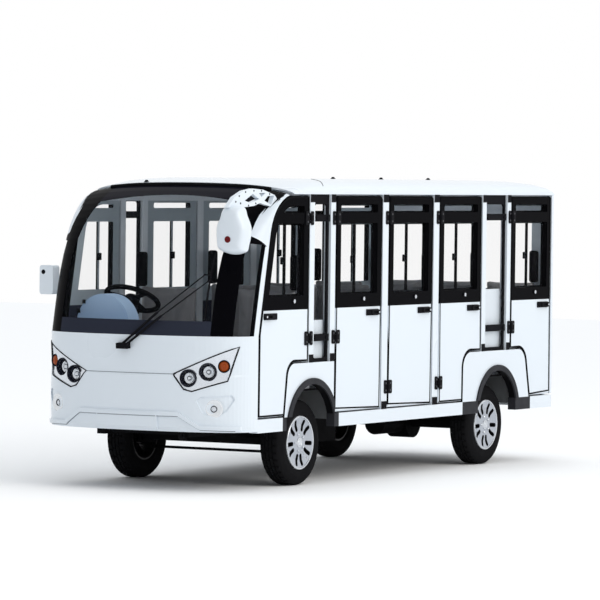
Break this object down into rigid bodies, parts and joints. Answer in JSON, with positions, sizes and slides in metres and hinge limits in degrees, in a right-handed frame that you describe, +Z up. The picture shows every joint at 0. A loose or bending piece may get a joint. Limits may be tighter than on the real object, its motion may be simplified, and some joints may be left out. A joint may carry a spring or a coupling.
{
  "type": "enclosed electric sightseeing bus",
  "caption": "Small enclosed sightseeing bus with a wrap-round glass front, hinged side doors, three-abreast seat rows, steered front wheels and a ladder frame.",
  "frame": {"origin": "on the ground under the middle of the bounding box", "axes": "-Y towards the nose, +X the bus's own left side, +Z up"},
  "size_m": [1.696, 4.6433, 2],
  "materials": {
    "white_body": "glossy white gel coat on moulded panels",
    "black_trim": "satin black",
    "tinted_glass": "lightly tinted safety glass",
    "lamp_bezel": "bright reflector",
    "lamp_glass": "clear lens",
    "red_lens": "ribbed red lens",
    "tyre": "road tyre",
    "wheel_silver": "silver painted cover",
    "dark_metal": "black chassis paint",
    "grey_floor": "textured floor",
    "grey_trim": "light grey moulding",
    "seat_cover": "black seat cover",
    "mirror": "mirror glass"
  },
  "bodies": {
    "bus": {"front_fascia": "white_body", "headlamps": "lamp_bezel", "lamp_lenses": "lamp_glass", "windscreen": "tinted_glass", "front_pillars": "white_body", "fixed_glass": "tinted_glass", "roof": "white_body", "side_posts": "white_body", "hinge_leaves": "black_trim", "arch_panels": "white_body", "arch_flares": "black_trim", "sills": "white_body", "rear_wall": "white_body", "tail_lamps": "red_lens", "rear_bumper": "white_body", "floor_pan": "grey_floor", "chassis_frame": "dark_metal", "battery_pack": "dark_metal", "front_axle": "dark_metal", "rear_axle": "dark_metal", "dashboard": "grey_trim", "seat_bases": "grey_trim", "seat_pads": "seat_cover", "wiper": "black_trim", "mirrors": "white_body", "mirror_stay": "black_trim", "mirror_glass": "mirror"},
    "door_l1": {"door_l1": "white_body", "glass_l1": "tinted_glass"},
    "door_l2": {"door_l2": "white_body", "glass_l2": "tinted_glass"},
    "door_l3": {"door_l3": "white_body", "glass_l3": "tinted_glass"},
    "door_l4": {"door_l4": "white_body", "glass_l4": "tinted_glass"},
    "door_l5": {"door_l5": "white_body", "glass_l5": "tinted_glass"},
    "door_r1": {"door_r1": "white_body", "glass_r1": "tinted_glass"},
    "door_r2": {"door_r2": "white_body", "glass_r2": "tinted_glass"},
    "door_r3": {"door_r3": "white_body", "glass_r3": "tinted_glass"},
    "door_r4": {"door_r4": "white_body", "glass_r4": "tinted_glass"},
    "door_r5": {"door_r5": "white_body", "glass_r5": "tinted_glass"},
    "wheel_fl": {"tyre_fl": "tyre", "wheel_fl": "wheel_silver"},
    "wheel_fr": {"tyre_fr": "tyre", "wheel_fr": "wheel_silver"},
    "wheel_rl": {"tyre_rl": "tyre", "wheel_rl": "wheel_silver"},
    "wheel_rr": {"tyre_rr": "tyre", "wheel_rr": "wheel_silver"},
    "knuckle_l": {"knuckle_l": "dark_metal"},
    "knuckle_r": {"knuckle_r": "dark_metal"},
    "tie_rod": {"tie_rod": "dark_metal"},
    "steering_wheel": {"steering_wheel": "black_trim"}
  },
  "joints": [
    {"name": "door_l1_hinge", "type": "hinge", "parent": "bus", "child": "door_l1", "pos_m": [0.763, -1.281, 1.2], "axis": [0, 0, 1], "range_deg": [0, 80]},
    {"name": "door_l2_hinge", "type": "hinge", "parent": "bus", "child": "door_l2", "pos_m": [0.763, -0.93, 1.2], "axis": [0, 0, -1], "range_deg": [0, 80]},
    {"name": "door_l3_hinge", "type": "hinge", "parent": "bus", "child": "door_l3", "pos_m": [0.763, -0.201, 1.2], "axis": [0, 0, -1], "range_deg": [0, 80]},
    {"name": "door_l4_hinge", "type": "hinge", "parent": "bus", "child": "door_l4", "pos_m": [0.763, 0.528, 1.2], "axis": [0, 0, -1], "range_deg": [0, 80]},
    {"name": "door_l5_hinge", "type": "hinge", "parent": "bus", "child": "door_l5", "pos_m": [0.763, 1.616, 1.2], "axis": [0, 0, -1], "range_deg": [0, 80]},
    {"name": "door_r1_hinge", "type": "hinge", "parent": "bus", "child": "door_r1", "pos_m": [-0.763, -1.281, 1.2], "axis": [0, 0, -1], "range_deg": [0, 80]},
    {"name": "door_r2_hinge", "type": "hinge", "parent": "bus", "child": "door_r2", "pos_m": [-0.763, -0.93, 1.2], "axis": [0, 0, 1], "range_deg": [0, 80]},
    {"name": "door_r3_hinge", "type": "hinge", "parent": "bus", "child": "door_r3", "pos_m": [-0.763, -0.201, 1.2], "axis": [0, 0, 1], "range_deg": [0, 80]},
    {"name": "door_r4_hinge", "type": "hinge", "parent": "bus", "child": "door_r4", "pos_m": [-0.763, 0.528, 1.2], "axis": [0, 0, 1], "range_deg": [0, 80]},
    {"name": "door_r5_hinge", "type": "hinge", "parent": "bus", "child": "door_r5", "pos_m": [-0.763, 1.616, 1.2], "axis": [0, 0, 1], "range_deg": [0, 80]},
    {"name": "wheel_fl_spin", "type": "hinge", "parent": "knuckle_l", "child": "wheel_fl", "pos_m": [0.585, -1.2225, 0.28], "axis": [1, 0, 0], "continuous": true},
    {"name": "wheel_fr_spin", "type": "hinge", "parent": "knuckle_r", "child": "wheel_fr", "pos_m": [-0.585, -1.2225, 0.28], "axis": [1, 0, 0], "continuous": true},
    {"name": "wheel_rl_spin", "type": "hinge", "parent": "bus", "child": "wheel_rl", "pos_m": [0.585, 1.4275, 0.28], "axis": [1, 0, 0], "continuous": true},
    {"name": "wheel_rr_spin", "type": "hinge", "parent": "bus", "child": "wheel_rr", "pos_m": [-0.585, 1.4275, 0.28], "axis": [1, 0, 0], "continuous": true},
    {"name": "steer_left", "type": "hinge", "parent": "bus", "child": "knuckle_l", "pos_m": [0.51, -1.2225, 0.28], "axis": [0, 0, 1], "range_deg": [-30, 30]},
    {"name": "steer_right", "type": "hinge", "parent": "bus", "child": "knuckle_r", "pos_m": [-0.51, -1.2225, 0.28], "axis": [0, 0, 1], "range_deg": [-30, 30]},
    {"name": "tie_rod_pivot", "type": "hinge", "parent": "knuckle_l", "child": "tie_rod", "pos_m": [0.51, -1.1265, 0.203], "axis": [0, 0, 1], "range_deg": [-31, 31]},
    {"name": "steering_wheel_turn", "type": "hinge", "parent": "bus", "child": "steering_wheel", "pos_m": [-0.375, -1.6401, 1.2007], "axis": [0, 0.4695, 0.8829], "range_deg": [-450, 450]}
  ],
  "couplings": [
    {"joint": "steer_right", "follows": "steer_left", "ratio": 1},
    {"joint": "tie_rod_pivot", "follows": "steer_left", "ratio": -1},
    {"joint": "steering_wheel_turn", "follows": "steer_left", "ratio": 15}
  ]
}
